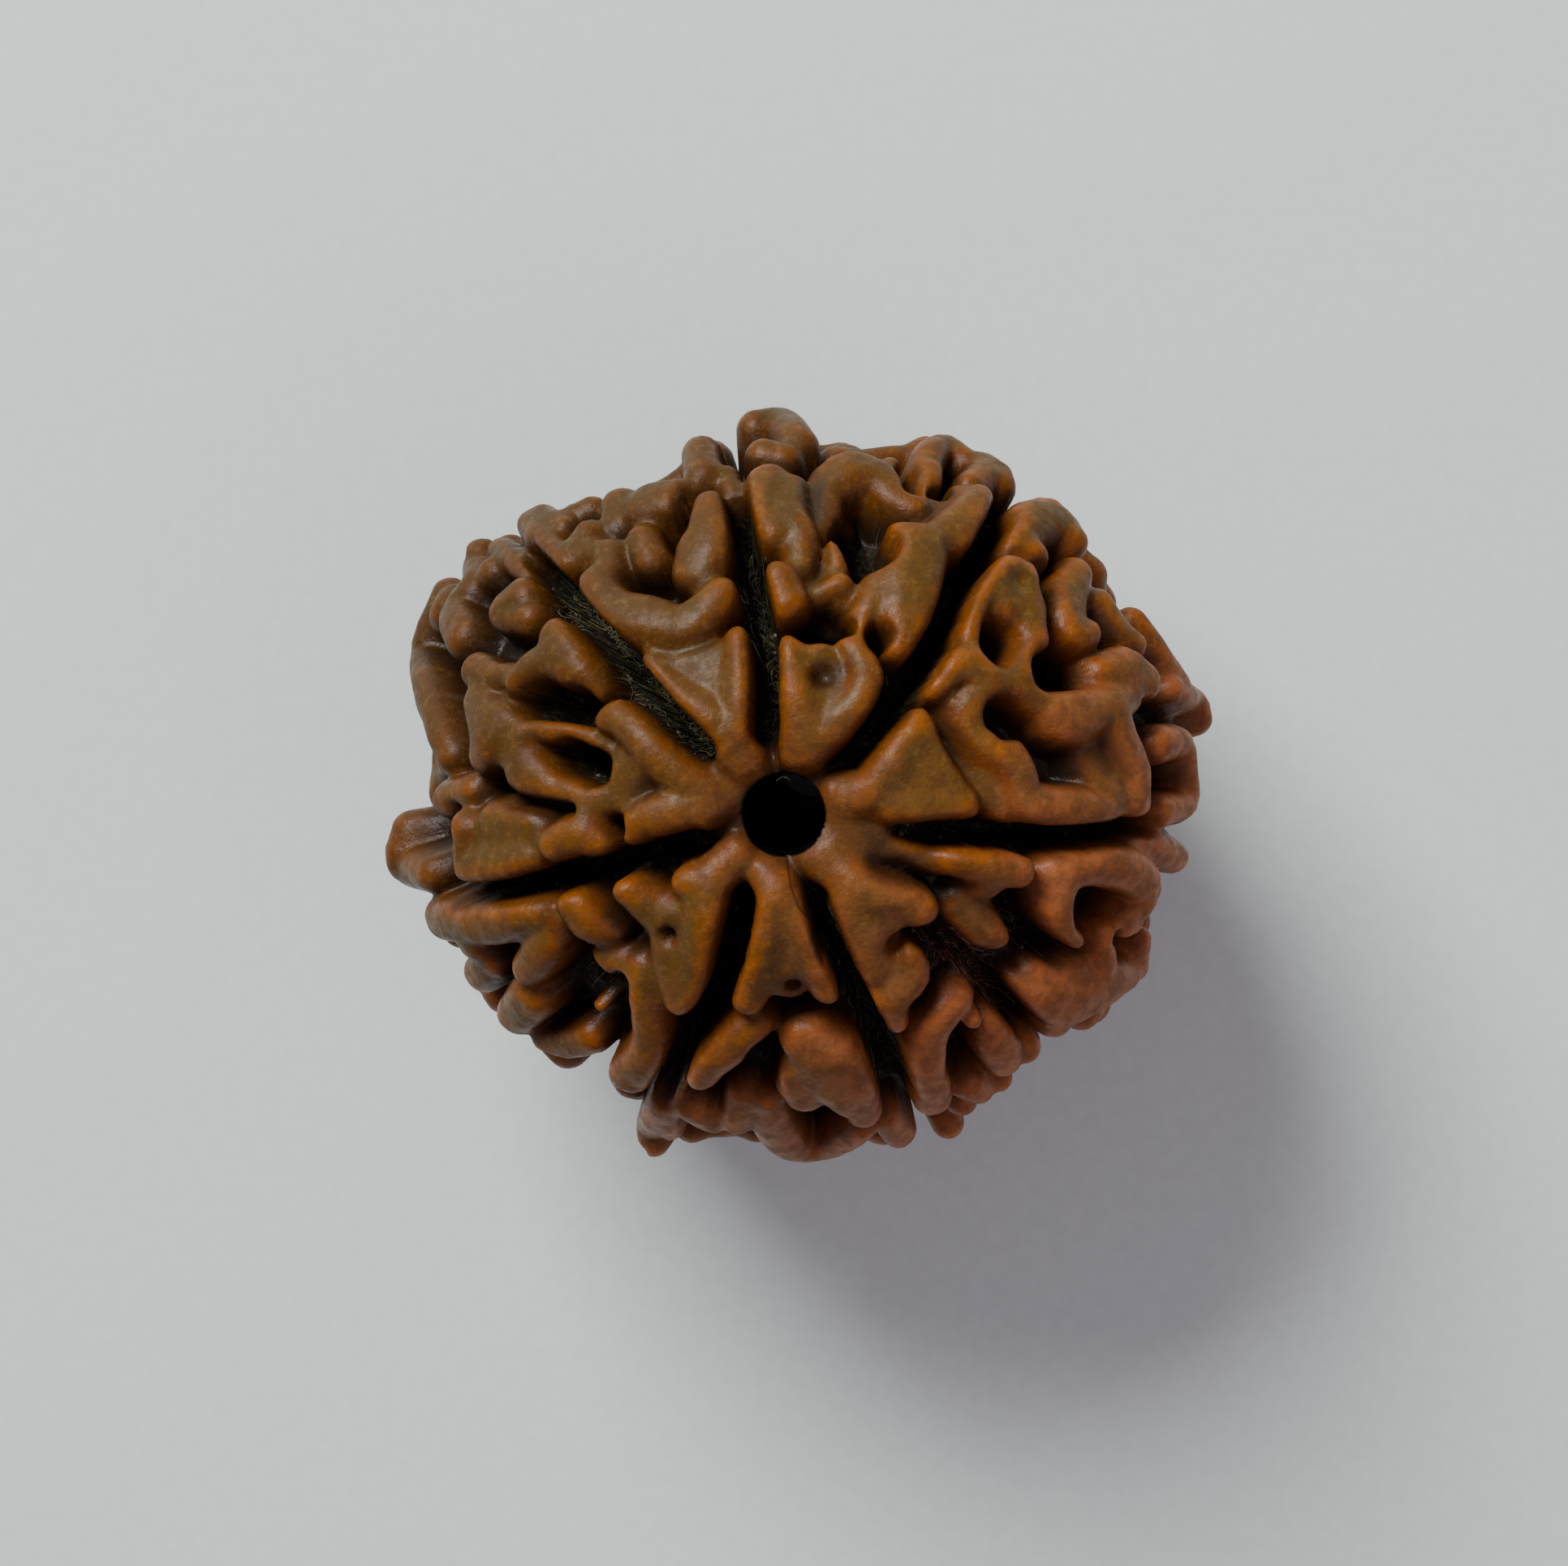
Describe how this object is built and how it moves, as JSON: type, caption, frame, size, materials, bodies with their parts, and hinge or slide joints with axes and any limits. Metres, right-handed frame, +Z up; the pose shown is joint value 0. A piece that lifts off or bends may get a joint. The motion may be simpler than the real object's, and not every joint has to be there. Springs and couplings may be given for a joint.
{
  "type": "rudraksha bead",
  "caption": "Natural woody fruit stone used as a bead: round and slightly flattened, with deep grooves from pole to pole, raised knobbly ridges and a bore along its axis.",
  "frame": {"origin": "on the surface that the bead rests on, under the middle of its box", "axes": "+Z up along the bore, +X along the longer side of the bead's outline"},
  "size_m": [0.0248, 0.0226, 0.0204],
  "materials": {
    "rudraksha_wood": "satin, orange-brown along the ridges, olive-tan on their tops, near black in the grooves"
  },
  "bodies": {
    "root": {"rudraksha_bead": "rudraksha_wood"}
  },
  "joints": []
}
